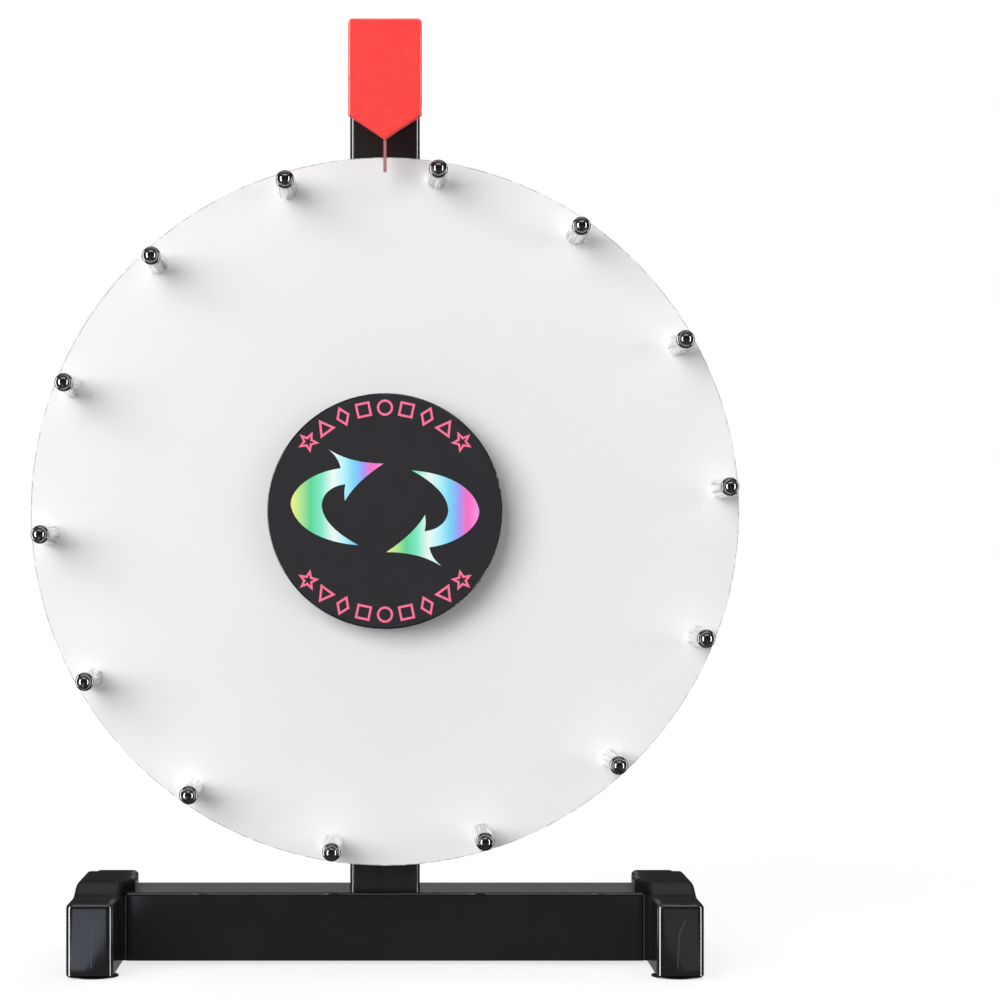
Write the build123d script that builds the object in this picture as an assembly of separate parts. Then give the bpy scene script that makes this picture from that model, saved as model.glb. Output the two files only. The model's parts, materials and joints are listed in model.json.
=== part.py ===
"""Tabletop prize wheel: a game spinner that stands on a desk.

Frame: millimetres, +Z up, origin on the table at the centre of the footprint. The players' side is -Y
and +X is to their right. The wheel turns about a level axle along Y.
"""

import os

from build123d import *

# ---- Wheel ---------------------------------------------------------------------------------------
WHEEL_D = 304.8  # a 12 inch disc
BOARD_T = 4.4  # rigid foam core
FACE_T = 0.6  # dry-erase laminate on the players' side
DISC_FRONT_Y = -25.0  # the writing surface
AXLE_Z = 195.7  # height of the wheel's axis over the table

# ---- Pegs ----------------------------------------------------------------------------------------
PEG_COUNT = 14
PEG_RIM_GAP = 7.4  # disc edge to peg axis
PEG_START_DEG = 8.9  # first peg, clockwise from straight up as the players see it
PEG_BASE_D = 9.2
PEG_END_D = 7.8
PEG_H = 33.6  # post and cap, without the dome
PEG_CAP_L = 5.0  # black cap over the post's end
PEG_STEM_R = 2.0
PEG_STEM_L = 4.6
PEG_SHOULDER_R = 1.1
PEG_TIP_D = 6.2  # glossy dome on the cap
PEG_DOME_OUT = 1.2  # centre of the dome in front of the cap
PEG_SCREW_D = 3.9
PEG_SCREW_HEAD_D = 7.6
PEG_SCREW_HEAD_T = 2.2
PEG_SCREW_DEPTH = 14.0  # length inside the peg

# ---- Hub -----------------------------------------------------------------------------------------
HUB_CAP_D = 100.4
HUB_CAP_RISE = 15.0  # writing surface to the cap's front
HUB_CAP_WALL = 1.8
HUB_CAP_GAP = 0.8  # between the cap's rim and the writing surface
LABEL_D = 99.0
LABEL_T = 0.25
BARREL_D = 30.0
FLANGE_D = 66.0
FLANGE_T = 3.0
REAR_FLANGE_T = 3.0
HUB_SCREW_D = 3.9
HUB_SCREW_PCD = 50.0
HUB_SCREW_COUNT = 4
HUB_SCREW_HEAD_R = 3.6
HUB_SCREW_HEAD_T = 2.4
CAP_EDGE_R = 0.6
CAP_COLLAR_WALL = 2.2
CAP_RIB_COUNT = 8
CAP_RIB_T = 1.4
CAP_RIB_H = 4.0

# ---- Ball bearings, 8 x 22 x 7 ---------------------------------------------------------------------
AXLE_D = 7.95  # the fixed axle that the inner races sit on
AXLE_PLAY = 0.075  # radial, axle to inner race
BEARING_OD = 22.0
BEARING_W = 7.0
RACE_IN_OD = 12.2
RACE_OUT_ID = 18.4
BALL_D = 3.97
BALL_PITCH_D = 15.3
BALL_COUNT = 7
BALL_GAP = 0.045
CAGE_W = 5.0
CAGE_T = 1.7
SHIELD_T = 0.4
RACE_SPACER_L = 5.0  # between the two bearings

# ---- Axle ----------------------------------------------------------------------------------------
AXLE_SPACER_L = 4.0  # post to rear bearing
AXLE_SPACER_OD = 12.0
HEX_AF = 13.0
HEX_HEAD_T = 5.3
JAM_NUT_T = 4.0
WASHER_D = 17.0
WASHER_T = 1.6

# ---- Post ----------------------------------------------------------------------------------------
POST_W = 30.4
POST_D = 20.0
POST_WALL = 1.8
POST_CORNER_R = 2.4
POST_TOP_Z = 401.0
POST_CAP_T = 2.0
POST_PLUG_H = 16.0
BASE_BOLT_D = 4.9
BASE_BOLT_PITCH = 16.0
BASE_BOLT_HEAD_D = 8.5
BASE_BOLT_HEAD_T = 5.0

# ---- Pointer -------------------------------------------------------------------------------------
POINTER_W = 31.0
POINTER_REACH = 28.0  # writing surface to the housing's front
POINTER_TOP_Z = 403.0
POINTER_SHOULDER_Z = 362.2
POINTER_TIP_Z = 351.9
POINTER_REAR_Z = 369.6  # lower edge of the side walls where they meet the post
POINTER_STEP = 0.6  # side walls start this far above the front's shoulders
POINTER_WALL = 2.0
POINTER_FRONT_T = 2.4
POINTER_EDGE_R = 1.1
POINTER_CORNER_R = 1.9
POINTER_SHOULDER_R = 0.8
POINTER_BOSS_R = 3.8
POINTER_BOLT_Z = 394.5
POINTER_BOLT_PITCH = 17.0
POINTER_BOLT_D = 3.9
POINTER_BOLT_L = 42.0
POINTER_BOLT_HEAD_R = 3.8
POINTER_BOLT_HEAD_T = 2.4
BRACKET_T = 2.0
BRACKET_W = 26.0
BRACKET_LUG_GAP = 8.4  # between the two lugs' inner faces
BRACKET_LUG_T = 1.5
BRACKET_LUG_R = 4.6

# ---- Flapper -------------------------------------------------------------------------------------
PIN_Z = 381.0
PIN_D = 3.0
FLAPPER_W = 11.6
FLAPPER_T = 1.4
FLAPPER_ROOT = 6.0  # above the pin
FLAPPER_REACH = 41.8  # below the pin
FLAPPER_HOLE_D = 4.1
FLAPPER_NOSE_R = 2.6
FLAPPER_NOSE_RISE = 2.4
FLAPPER_TAPER = 17.0  # length of the narrowing lower end
PIN_HEAD_R = 2.5
PIN_HEAD_T = 1.05
PIN_TAIL = 1.8  # beyond the lug, for the clip
CLIP_R = 3.1
CLIP_T = 0.6
SPACER_R = 3.1
SPACER_NOSE_R = 2.2
SPACER_NOSE_X = 1.95  # middle plane to the spacer's nose
SPACER_CONE_X = 3.0
FLAPPER_GAP = 0.4  # to the housing's front wall

# ---- Base ----------------------------------------------------------------------------------------
BASE_BOTTOM_Z = 1.6
BASE_WALL = 2.4
BAR_D = 40.0
BAR_TOP_Z = 31.0
BAR_END_X = 112.9  # where the bar's rounded corners stop short of the legs
BAR_CORNER_R = 2.0
LEG_L = 130.0  # front to back
LEG_OUT_X = 133.2
LEG_IN_X = 113.4  # inner flank at the leg's two ends
LEG_NECK_X = 109.0  # inner flank where the leg crosses the bar
LEG_FLARE_Y = 19.2  # the inner flank widens from here
LEG_NECK_Y = 8.0  # to here
LEG_BEND_R = 6.0
LEG_END_Z = 31.7
HUMP_Z = 36.0
HUMP_L = 36.0  # level crown of the hump
SLOPE_L = 22.0  # each curved slope from crown to leg end
LEG_CORNER_R = 3.0
LEG_EDGE_R = 2.2
BAR_EDGE_R = 1.4
BAR_JOIN = 3.0  # how far the crossbar's core runs into a leg
RIB_T = 1.8
RIB_COUNT = 2  # cross ribs on each side of the post
RIB_PITCH = 40.0
RIB_LOW_Z = 4.6
SPINE_LOW_Z = 7.6
SOCKET_FLOOR_Z = 9.0
SOCKET_FLOOR_T = 3.0
MARK_R = 6.0  # round witness mark of the mould on the bar's front
MARK_Z = 14.5
MARK_GROOVE_W = 0.35
MARK_DEPTH = 0.18

# ---- Suction cups --------------------------------------------------------------------------------
CUP_D = 21.6
CUP_X = 122.9
CUP_Y = 53.0
CUP_NECK_D = 6.0
CUP_BUTTON_D = 8.6
CUP_PLATE_Z = 3.8
CUP_PLATE_T = 2.2
CUP_PLATE_HALF = 11.2  # half its length along the leg
CUP_SEAT = 0.05  # play of the button on the plate

# ---- Clearances ----------------------------------------------------------------------------------
PRESS = 0.02  # radial, between pieces pressed together
LOOSE = 0.1  # radial, screw through a hole
SLIDE = 0.2  # per side, post in its socket and plugs in the post
HEAD_ROUND_R = 1.1  # crown of a pan head
CROSS_W = 2.4  # recess of a cross-head screw
CROSS_L = 4.2
CROSS_DEPTH = 0.9

# ---- Derived places ------------------------------------------------------------------------------
FACE_BACK_Y = DISC_FRONT_Y + FACE_T
DISC_BACK_Y = FACE_BACK_Y + BOARD_T
POST_FRONT_Y = -POST_D / 2
POST_BACK_Y = POST_D / 2
REAR_BEARING_Y = POST_FRONT_Y - AXLE_SPACER_L - BEARING_W / 2
FRONT_BEARING_Y = REAR_BEARING_Y - BEARING_W - RACE_SPACER_L
STACK_FRONT_Y = FRONT_BEARING_Y - BEARING_W / 2
PEG_R = WHEEL_D / 2 - PEG_RIM_GAP
CAP_FRONT_Y = DISC_FRONT_Y - HUB_CAP_RISE
POINTER_FRONT_Y = DISC_FRONT_Y - POINTER_REACH
PIN_Y = POINTER_FRONT_Y + POINTER_FRONT_T + FLAPPER_GAP + FLAPPER_W / 2
SOCKET_Z = SOCKET_FLOOR_Z + SOCKET_FLOOR_T


# ---- Small helpers -------------------------------------------------------------------------------
def block(x0, x1, y0, y1, z0, z1):
    """A box between two corners."""
    middle = Pos((x0 + x1) / 2, (y0 + y1) / 2, (z0 + z1) / 2)
    return middle * Box(x1 - x0, y1 - y0, z1 - z0)


def rod_y(radius, y0, y1, x=0.0, z=AXLE_Z):
    """A cylinder along Y between two planes."""
    return Pos(x, (y0 + y1) / 2, z) * Rot(90, 0, 0) * Cylinder(radius, y1 - y0)


def ring_y(outer, inner, y0, y1, x=0.0, z=AXLE_Z):
    """A tube along Y between two planes."""
    margin = 1.0
    return rod_y(outer, y0, y1, x, z) - rod_y(inner, y0 - margin, y1 + margin, x, z)


def rod_z(radius, z0, z1, x=0.0, y=0.0):
    """A cylinder along Z between two planes."""
    return Pos(x, y, (z0 + z1) / 2) * Cylinder(radius, z1 - z0)


def rod_x(radius, x0, x1, y, z):
    """A cylinder along X between two planes."""
    return Pos((x0 + x1) / 2, y, z) * Rot(0, 90, 0) * Cylinder(radius, x1 - x0)


def hex_y(across_flats, y0, y1, x=0.0, z=AXLE_Z):
    """A hexagonal prism along Y, with its corners eased as on a turned bolt head."""
    depth = y1 - y0
    sketch = RegularPolygon(across_flats / 2, 6, major_radius=False)
    prism = Pos(x, y1, z) * Rot(90, 0, 0) * extrude(sketch, depth)
    corner_r = across_flats / 2 / 0.866
    ease = (corner_r - across_flats / 2) * 0.55
    turned = chamfer(Cylinder(corner_r, depth).edges().filter_by(GeomType.CIRCLE), ease)
    return prism & (Pos(x, (y0 + y1) / 2, z) * Rot(90, 0, 0) * turned)


def around_axle(piece, angle_deg):
    """The piece turned about the wheel's axle, clockwise as the players see it."""
    return Pos(0, 0, AXLE_Z) * Rot(0, angle_deg, 0) * Pos(0, 0, -AXLE_Z) * piece


def mirrored(piece):
    """The piece's twin on the other side of the middle plane."""
    return mirror(piece, Plane.YZ)


def cross_recess(head, x, y, z):
    """The head with a cross cut into the face that lies at y."""
    for turn in (0, 90):
        head -= Pos(x, y, z) * Rot(0, turn, 0) * Box(CROSS_L, CROSS_W, CROSS_DEPTH)
    return head


def save(node, *solids):
    """Writes one node's solids to its STEP file."""
    found = [s for piece in solids for s in piece.solids()]
    shape = found[0] if len(found) == 1 else Compound(children=found)
    shape.label = node
    export_step(shape, f"parts/{node}.step")


# ---- Stand: base ---------------------------------------------------------------------------------
def leg_plan(inset):
    """A leg seen from above: straight outside, flared on the inside where it meets the bar."""
    half, out_x = LEG_L / 2 - inset, LEG_OUT_X - inset
    in_x, neck_x = LEG_IN_X + inset, LEG_NECK_X + inset
    points = [
        (out_x, -half),
        (out_x, half),
        (in_x, half),
        (in_x, LEG_FLARE_Y),
        (neck_x, LEG_NECK_Y),
        (neck_x, -LEG_NECK_Y),
        (in_x, -LEG_FLARE_Y),
        (in_x, -half),
    ]
    plan = make_face(Polyline(*points, close=True))
    bends = plan.vertices().filter_by(lambda v: abs(v.Y) < LEG_FLARE_Y + 0.01)
    plan = fillet(bends, LEG_BEND_R)
    corners = plan.vertices().filter_by(lambda v: abs(abs(v.Y) - half) < 0.01)
    return fillet(corners, LEG_CORNER_R - min(inset, 2.0))


def leg_side(inset, bottom_z):
    """A leg seen from the side: a level crown over the bar, and an S curve down to each low end."""
    half, low, high = LEG_L / 2 - inset, LEG_END_Z - inset, HUMP_Z - inset
    crown = HUMP_L / 2 - inset / 2
    toe = crown + SLOPE_L
    reach = SLOPE_L * 0.45
    outline = [
        Line((-half, bottom_z), (-half, low)),
        Line((-half, low), (-toe, low)),
        Bezier((-toe, low), (-toe + reach, low), (-crown - reach, high), (-crown, high)),
        Line((-crown, high), (crown, high)),
        Bezier((crown, high), (crown + reach, high), (toe - reach, low), (toe, low)),
        Line((toe, low), (half, low)),
        Line((half, low), (half, bottom_z)),
        Line((half, bottom_z), (-half, bottom_z)),
    ]
    return make_face(Curve() + outline)


def leg_form(inset, bottom_z):
    """The right-hand leg as a plain form, or its cavity when inset by the wall."""
    upright = Pos(0, 0, bottom_z) * extrude(leg_plan(inset), HUMP_Z - inset - bottom_z)
    side = Plane.YZ * leg_side(inset, bottom_z)
    return upright & extrude(side, LEG_OUT_X + 20.0)


def outer_leg():
    """The right-hand leg with its upper edges rounded."""
    leg = leg_form(0.0, BASE_BOTTOM_Z)
    upper = leg.edges().filter_by(lambda e: e.center().Z > LEG_END_Z - 1.0)
    end_y = LEG_L / 2 - LEG_CORNER_R - 1.0
    rim = upper.filter_by(lambda e: abs((e @ 1).X - (e @ 0).X) < 10.0 or abs(e.center().Y) > end_y)
    return fillet(rim, LEG_EDGE_R)


def bar_form():
    """The crossbar's outer form, with rounded upper edges and upright corners just short of the legs."""
    half = BAR_D / 2
    bar = block(-BAR_END_X, BAR_END_X, -half, half, BASE_BOTTOM_Z, BAR_TOP_Z)
    bar = fillet(bar.edges().filter_by(Axis.Z), BAR_CORNER_R)
    rim = bar.edges().filter_by(lambda e: e.center().Z > BAR_TOP_Z - 0.1)
    return fillet(rim, BAR_EDGE_R)


def base_shell():
    """Legs and crossbar in one moulding, open below, with ribs and a socket for the post."""
    inside_half = BAR_D / 2 - BASE_WALL
    inside_top = BAR_TOP_Z - BASE_WALL
    core_x = LEG_IN_X + BAR_JOIN
    core_half = BAR_D / 2 - 1.0
    core = block(-core_x, core_x, -core_half, core_half, BASE_BOTTOM_Z, BAR_TOP_Z - 1.0)
    leg = outer_leg()
    form = bar_form() + core + leg + mirrored(leg)

    hollow = block(-core_x, core_x, -inside_half, inside_half, 0.0, inside_top)
    leg_hollow = leg_form(BASE_WALL, 0.0)
    shell = form - (hollow + leg_hollow + mirrored(leg_hollow))

    rib_top = BAR_TOP_Z - BASE_WALL / 2
    ribs = block(-core_x, core_x, -RIB_T / 2, RIB_T / 2, SPINE_LOW_Z, rib_top)
    rib_half = BAR_D / 2 - BASE_WALL / 2
    for step in range(1, RIB_COUNT + 1):
        rib = block(-RIB_T / 2, RIB_T / 2, -rib_half, rib_half, RIB_LOW_Z, rib_top)
        place = POST_W / 2 + step * RIB_PITCH
        ribs += Pos(place, 0, 0) * rib
        ribs += Pos(-place, 0, 0) * rib

    socket_w, socket_d = POST_W / 2 + SLIDE, POST_D / 2 + SLIDE
    tower = block(
        -socket_w - BASE_WALL,
        socket_w + BASE_WALL,
        -socket_d - BASE_WALL,
        socket_d + BASE_WALL,
        SOCKET_FLOOR_Z,
        BAR_TOP_Z - BASE_WALL / 2,
    )
    shell = shell + ribs + tower

    for side in (-1, 1):
        for end in (-1, 1):
            reach_x = (LEG_OUT_X - LEG_IN_X) / 2 - BASE_WALL / 2
            mid_x = (LEG_OUT_X + LEG_IN_X) / 2
            plate = block(
                side * mid_x - reach_x,
                side * mid_x + reach_x,
                end * CUP_Y - CUP_PLATE_HALF,
                end * CUP_Y + CUP_PLATE_HALF,
                CUP_PLATE_Z,
                CUP_PLATE_Z + CUP_PLATE_T,
            )
            hole = rod_z(CUP_NECK_D / 2 + LOOSE, 0, 20, side * CUP_X, end * CUP_Y)
            shell = shell + (plate - hole)

    pocket = Pos(0, 0, SOCKET_Z) * extrude(post_outline(-SLIDE), 60)
    shell -= pocket
    for side in (-1, 1):
        x = side * BASE_BOLT_PITCH / 2
        shell -= rod_z(BASE_BOLT_D / 2 + LOOSE, 0, SOCKET_Z + 1, x)
        shell -= rod_z(BASE_BOLT_HEAD_D / 2 + 0.6, 0, SOCKET_FLOOR_Z, x)
    groove = ring_y(MARK_R, MARK_R - MARK_GROOVE_W, -BAR_D / 2 - 1, -BAR_D / 2 + MARK_DEPTH, 0, MARK_Z)
    return shell - groove


def suction_cup(x, y):
    """A soft cup: a thin dished skirt, a neck through the leg and a button that holds it there."""
    r = CUP_D / 2
    neck_r = CUP_NECK_D / 2
    button_z = CUP_PLATE_Z + CUP_PLATE_T + CUP_SEAT
    outline = [
        (0, 1.6),
        (r * 0.45, 1.0),
        (r * 0.8, 0.0),
        (r, 0.0),
        (r, 0.4),
        (r * 0.82, 0.8),
        (r * 0.58, 1.4),
        (r * 0.5, CUP_PLATE_Z - CUP_SEAT),
        (neck_r, CUP_PLATE_Z - CUP_SEAT),
        (neck_r, button_z),
        (CUP_BUTTON_D / 2, button_z),
        (CUP_BUTTON_D / 2 - 0.6, button_z + 1.0),
        (neck_r - 0.6, button_z + 2.0),
        (0, button_z + 2.0),
    ]
    section = Plane.XZ * make_face(Polyline(*outline, close=True))
    return Pos(x, y, 0) * revolve(section, Axis.Z, 360)


# ---- Stand: post ---------------------------------------------------------------------------------
def post_outline(inset):
    """The post's section, smaller by the inset all round."""
    radius = max(POST_CORNER_R - inset, 0.4)
    return RectangleRounded(POST_W - 2 * inset, POST_D - 2 * inset, radius)


def post():
    """A rectangular tube from the socket's floor to the pointer, drilled for the axle and the bolts."""
    height = POST_TOP_Z - SOCKET_Z
    tube = extrude(post_outline(0.0) - post_outline(POST_WALL), height)
    tube = Pos(0, 0, SOCKET_Z) * tube
    tube -= rod_y(AXLE_D / 2 + LOOSE, -POST_D, POST_D)
    for side in (-1, 1):
        x = side * POINTER_BOLT_PITCH / 2
        tube -= rod_y(POINTER_BOLT_D / 2 + LOOSE, -POST_D, POST_D, x, POINTER_BOLT_Z)
    return tube


def post_cap():
    """A push-in plug that closes the post's upper end."""
    lid = Pos(0, 0, POST_TOP_Z) * extrude(post_outline(0.0), POST_CAP_T)
    top = lid.edges().filter_by(lambda e: e.center().Z > POST_TOP_Z + POST_CAP_T - 0.1)
    lid = fillet(top, 0.9)
    skirt = post_outline(POST_WALL + SLIDE) - post_outline(POST_WALL + SLIDE + 1.4)
    return lid + Pos(0, 0, POST_TOP_Z - 4.0) * extrude(skirt, 4.0)


def post_foot_plug():
    """A block in the post's lower end that takes the two base bolts."""
    plug = Pos(0, 0, SOCKET_Z) * extrude(post_outline(POST_WALL + SLIDE), POST_PLUG_H)
    for side in (-1, 1):
        plug -= rod_z(BASE_BOLT_D / 2 + PRESS, 0, SOCKET_Z + 30, side * BASE_BOLT_PITCH / 2)
    return plug


def base_bolt(x):
    """A socket-head bolt, driven from below with a hex key."""
    head_top = SOCKET_FLOOR_Z
    head_low = head_top - BASE_BOLT_HEAD_T
    head = rod_z(BASE_BOLT_HEAD_D / 2, head_low, head_top, x)
    key = Pos(x, 0, head_low - 0.5) * extrude(RegularPolygon(2.0, 6, major_radius=False), 3.2)
    shank = rod_z(BASE_BOLT_D / 2, head_top, SOCKET_Z + POST_PLUG_H - 3.0, x)
    return head - key + shank


# ---- Stand: pointer ------------------------------------------------------------------------------
def pointer_face():
    """The housing's front: a tall plate that ends in a point."""
    w = POINTER_W / 2
    points = [
        (-w, POINTER_SHOULDER_Z),
        (0, POINTER_TIP_Z),
        (w, POINTER_SHOULDER_Z),
        (w, POINTER_TOP_Z),
        (-w, POINTER_TOP_Z),
    ]
    plate = make_face(Polyline(*points, close=True))
    top = plate.vertices().filter_by(lambda v: v.Y > POINTER_TOP_Z - 0.1)
    plate = fillet(top, POINTER_CORNER_R)
    shoulders = plate.vertices().filter_by(lambda v: abs(v.Y - POINTER_SHOULDER_Z) < 0.1)
    return fillet(shoulders, POINTER_SHOULDER_R)


def pointer_housing():
    """A red cover: pointed front, three side walls, open below for the flapper and behind for the post."""
    front_y, depth = POINTER_FRONT_Y, POST_FRONT_Y - POINTER_FRONT_Y
    standing = Plane((0, front_y + depth, 0), x_dir=(1, 0, 0), z_dir=(0, -1, 0))
    body = extrude(standing * pointer_face(), depth)
    rim = body.edges().filter_by(lambda e: abs(e.center().Y - front_y) < 0.01)
    body = fillet(rim, POINTER_EDGE_R)
    inner_w = POINTER_W / 2 - POINTER_WALL
    inside_y = front_y + POINTER_FRONT_T
    top_z = POINTER_TOP_Z - POINTER_WALL
    body -= block(-inner_w, inner_w, inside_y, 0, 0, top_z)
    under = [
        (inside_y, 0),
        (inside_y, POINTER_SHOULDER_Z + POINTER_STEP),
        (POST_FRONT_Y, POINTER_REAR_Z),
        (POST_FRONT_Y, 0),
    ]
    body -= extrude(Plane.YZ * make_face(Polyline(*under, close=True)), POINTER_W, both=True)
    plate_y = POST_FRONT_Y - BRACKET_T
    for side in (-1, 1):
        x = side * POINTER_BOLT_PITCH / 2
        boss = rod_y(POINTER_BOSS_R, inside_y - 0.5, plate_y, x, POINTER_BOLT_Z)
        end_y = POST_BACK_Y - POINTER_BOLT_L - 1.0
        body += boss
        body -= rod_y(POINTER_BOLT_D / 2 + PRESS, end_y, 0, x, POINTER_BOLT_Z)
    return body


def pointer_bracket():
    """A bent steel bracket on the post, with two lugs that carry the flapper's pin."""
    plate_y = POST_FRONT_Y - BRACKET_T
    low_z, high_z = PIN_Z - 8.0, POINTER_BOLT_Z + 5.0
    plate = block(-BRACKET_W / 2, BRACKET_W / 2, plate_y, POST_FRONT_Y, low_z, high_z)
    lug_x, lug_r = BRACKET_LUG_GAP / 2, BRACKET_LUG_R
    lug = block(lug_x, lug_x + BRACKET_LUG_T, PIN_Y, plate_y + 0.5, PIN_Z - lug_r, PIN_Z + lug_r)
    lug += rod_x(lug_r, lug_x, lug_x + BRACKET_LUG_T, PIN_Y, PIN_Z)
    bracket = plate + lug + mirrored(lug)
    bracket -= rod_x(PIN_D / 2 + PRESS, -20, 20, PIN_Y, PIN_Z)
    for side in (-1, 1):
        x = side * POINTER_BOLT_PITCH / 2
        bracket -= rod_y(POINTER_BOLT_D / 2 + LOOSE, -POST_D, 0, x, POINTER_BOLT_Z)
    return bracket


def pointer_bolt(x):
    """A pan-head bolt through the post and the bracket into the housing's boss."""
    head_y = POST_BACK_Y + POINTER_BOLT_HEAD_T
    head = rod_y(POINTER_BOLT_HEAD_R, POST_BACK_Y, head_y, x, POINTER_BOLT_Z)
    head = fillet(head.edges().filter_by(lambda e: e.center().Y > head_y - 0.1), HEAD_ROUND_R)
    head = cross_recess(head, x, head_y, POINTER_BOLT_Z)
    return head + rod_y(POINTER_BOLT_D / 2, POST_BACK_Y - POINTER_BOLT_L, POST_BACK_Y, x, POINTER_BOLT_Z)


def flapper_pin():
    """The pin that the flapper hangs on: a head at one end, a groove for a clip at the other."""
    lug_out = BRACKET_LUG_GAP / 2 + BRACKET_LUG_T
    head_x = -lug_out - 0.05
    pin = rod_x(PIN_D / 2, head_x - PIN_HEAD_T, lug_out + PIN_TAIL, PIN_Y, PIN_Z)
    pin += rod_x(PIN_HEAD_R, head_x - PIN_HEAD_T, head_x, PIN_Y, PIN_Z)
    groove = rod_x(PIN_D, lug_out + 0.3, lug_out + 0.4 + CLIP_T, PIN_Y, PIN_Z)
    return pin - (groove - rod_x(PIN_D / 2 - 0.35, 0, 20, PIN_Y, PIN_Z))


def pin_clip():
    """A spring clip in the pin's groove, open at the front."""
    lug_out = BRACKET_LUG_GAP / 2 + BRACKET_LUG_T
    x0, x1 = lug_out + 0.35, lug_out + 0.35 + CLIP_T
    clip = rod_x(CLIP_R, x0, x1, PIN_Y, PIN_Z) - rod_x(PIN_D / 2 - 0.33, 0, 20, PIN_Y, PIN_Z)
    return clip - block(x0 - 1, x1 + 1, PIN_Y - 5, PIN_Y, PIN_Z - 0.95, PIN_Z + 0.95)


def flapper_spacer(side):
    """A tapered spacer on the pin that keeps the flapper near the middle and lets it lean."""
    wide_x, nose_x = BRACKET_LUG_GAP / 2 - PRESS, SPACER_NOSE_X
    bore = PIN_D / 2 + PRESS
    cone = [(nose_x, SPACER_NOSE_R), (SPACER_CONE_X, SPACER_R)]
    points = [(nose_x, bore)] + cone + [(wide_x, SPACER_R), (wide_x, bore)]
    spacer = revolve(make_face(Polyline(*points, close=True)), Axis.X, 360)
    return Pos(0, PIN_Y, PIN_Z) * (spacer if side > 0 else mirrored(spacer))


def flapper_blade():
    """A flat flexible strip seen edge-on by the players, square above and rounded at its lower tip."""
    half, top, tip = FLAPPER_W / 2, FLAPPER_ROOT, -FLAPPER_REACH
    shoulder, nose, rise = tip + FLAPPER_TAPER, FLAPPER_NOSE_R, tip + FLAPPER_NOSE_RISE
    points = [(-half, shoulder), (-half, top), (half, top), (half, shoulder)]
    sides = [
        Polyline(*points),
        Spline((half, shoulder), (nose, rise), (0, tip), tangents=[(0, -1), (-1, 0)]),
        Spline((0, tip), (-nose, rise), (-half, shoulder), tangents=[(-1, 0), (0, 1)]),
    ]
    outline = make_face(Curve() + sides) - Circle(FLAPPER_HOLE_D / 2)
    standing = Plane((FLAPPER_T / 2, PIN_Y, PIN_Z), x_dir=(0, 1, 0), z_dir=(1, 0, 0))
    return extrude(standing * outline, -FLAPPER_T)


# ---- Stand: axle ---------------------------------------------------------------------------------
def axle_bolt():
    """The fixed axle: a hex bolt from behind the post."""
    head_y = POST_BACK_Y + WASHER_T
    end_y = STACK_FRONT_Y - JAM_NUT_T - 0.6
    shank = rod_y(AXLE_D / 2, end_y, head_y)
    tip = shank.edges().filter_by(lambda e: e.center().Y < end_y + 0.1)
    return chamfer(tip, 0.6) + hex_y(HEX_AF, head_y, head_y + HEX_HEAD_T)


def axle_nut():
    """A thin lock nut in front of the bearings."""
    nut = hex_y(HEX_AF, STACK_FRONT_Y - JAM_NUT_T, STACK_FRONT_Y)
    return nut - rod_y(AXLE_D / 2 + PRESS, -60, 60)


# ---- Ball bearings -------------------------------------------------------------------------------
def ball_track(y):
    """The round track that both races share."""
    return Pos(0, y, AXLE_Z) * Rot(90, 0, 0) * Torus(BALL_PITCH_D / 2, BALL_D / 2 + BALL_GAP)


def inner_race(y):
    half = BEARING_W / 2
    return ring_y(RACE_IN_OD / 2, AXLE_D / 2 + AXLE_PLAY, y - half, y + half) - ball_track(y)


def outer_race(y):
    half = BEARING_W / 2
    return ring_y(BEARING_OD / 2, RACE_OUT_ID / 2, y - half, y + half) - ball_track(y)


def ball_places(y):
    """The centres of a bearing's balls."""
    for k in range(BALL_COUNT):
        yield Pos(0, y, AXLE_Z) * Rot(0, 360 / BALL_COUNT * k, 0) * Pos(0, 0, BALL_PITCH_D / 2)


def balls(y):
    return [place * Sphere(BALL_D / 2) for place in ball_places(y)]


def cage(y):
    """A ring that spaces the balls, with a pocket for each."""
    mid = BALL_PITCH_D / 2
    ring = ring_y(mid + CAGE_T / 2, mid - CAGE_T / 2, y - CAGE_W / 2, y + CAGE_W / 2)
    for place in ball_places(y):
        ring -= place * Sphere(BALL_D / 2 + BALL_GAP)
    return ring


def shields(y):
    """The two thin covers of a bearing, held in its outer race."""
    inner, outer = RACE_IN_OD / 2 + 0.3, RACE_OUT_ID / 2 - PRESS
    near, far = BEARING_W / 2 - 0.15, BEARING_W / 2 - 0.15 - SHIELD_T
    return [ring_y(outer, inner, y - near, y - far), ring_y(outer, inner, y + far, y + near)]


# ---- Wheel ---------------------------------------------------------------------------------------
def peg_angles():
    return [PEG_START_DEG + 360 / PEG_COUNT * k for k in range(PEG_COUNT)]


def screw_holes(piece, radius):
    """The piece drilled for every peg screw."""
    for angle in peg_angles():
        piece -= around_axle(rod_y(radius, -60, 0, 0, AXLE_Z + PEG_R), angle)
    return piece


def hub_screw_holes(piece, radius):
    """The piece drilled for the hub's screws."""
    for k in range(HUB_SCREW_COUNT):
        turn = 360 / HUB_SCREW_COUNT * (k + 0.5)
        hole = rod_y(radius, -60, 0, 0, AXLE_Z + HUB_SCREW_PCD / 2)
        piece -= around_axle(hole, turn)
    return piece


def disc_board():
    board = ring_y(WHEEL_D / 2, BARREL_D / 2 + LOOSE, FACE_BACK_Y, DISC_BACK_Y)
    board = screw_holes(board, PEG_SCREW_D / 2 + LOOSE)
    return hub_screw_holes(board, HUB_SCREW_D / 2 + LOOSE)


def disc_face():
    face = ring_y(WHEEL_D / 2, BARREL_D / 2 + LOOSE, DISC_FRONT_Y, FACE_BACK_Y)
    face = screw_holes(face, PEG_SCREW_D / 2 + LOOSE)
    return hub_screw_holes(face, HUB_SCREW_D / 2 + LOOSE)


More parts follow.
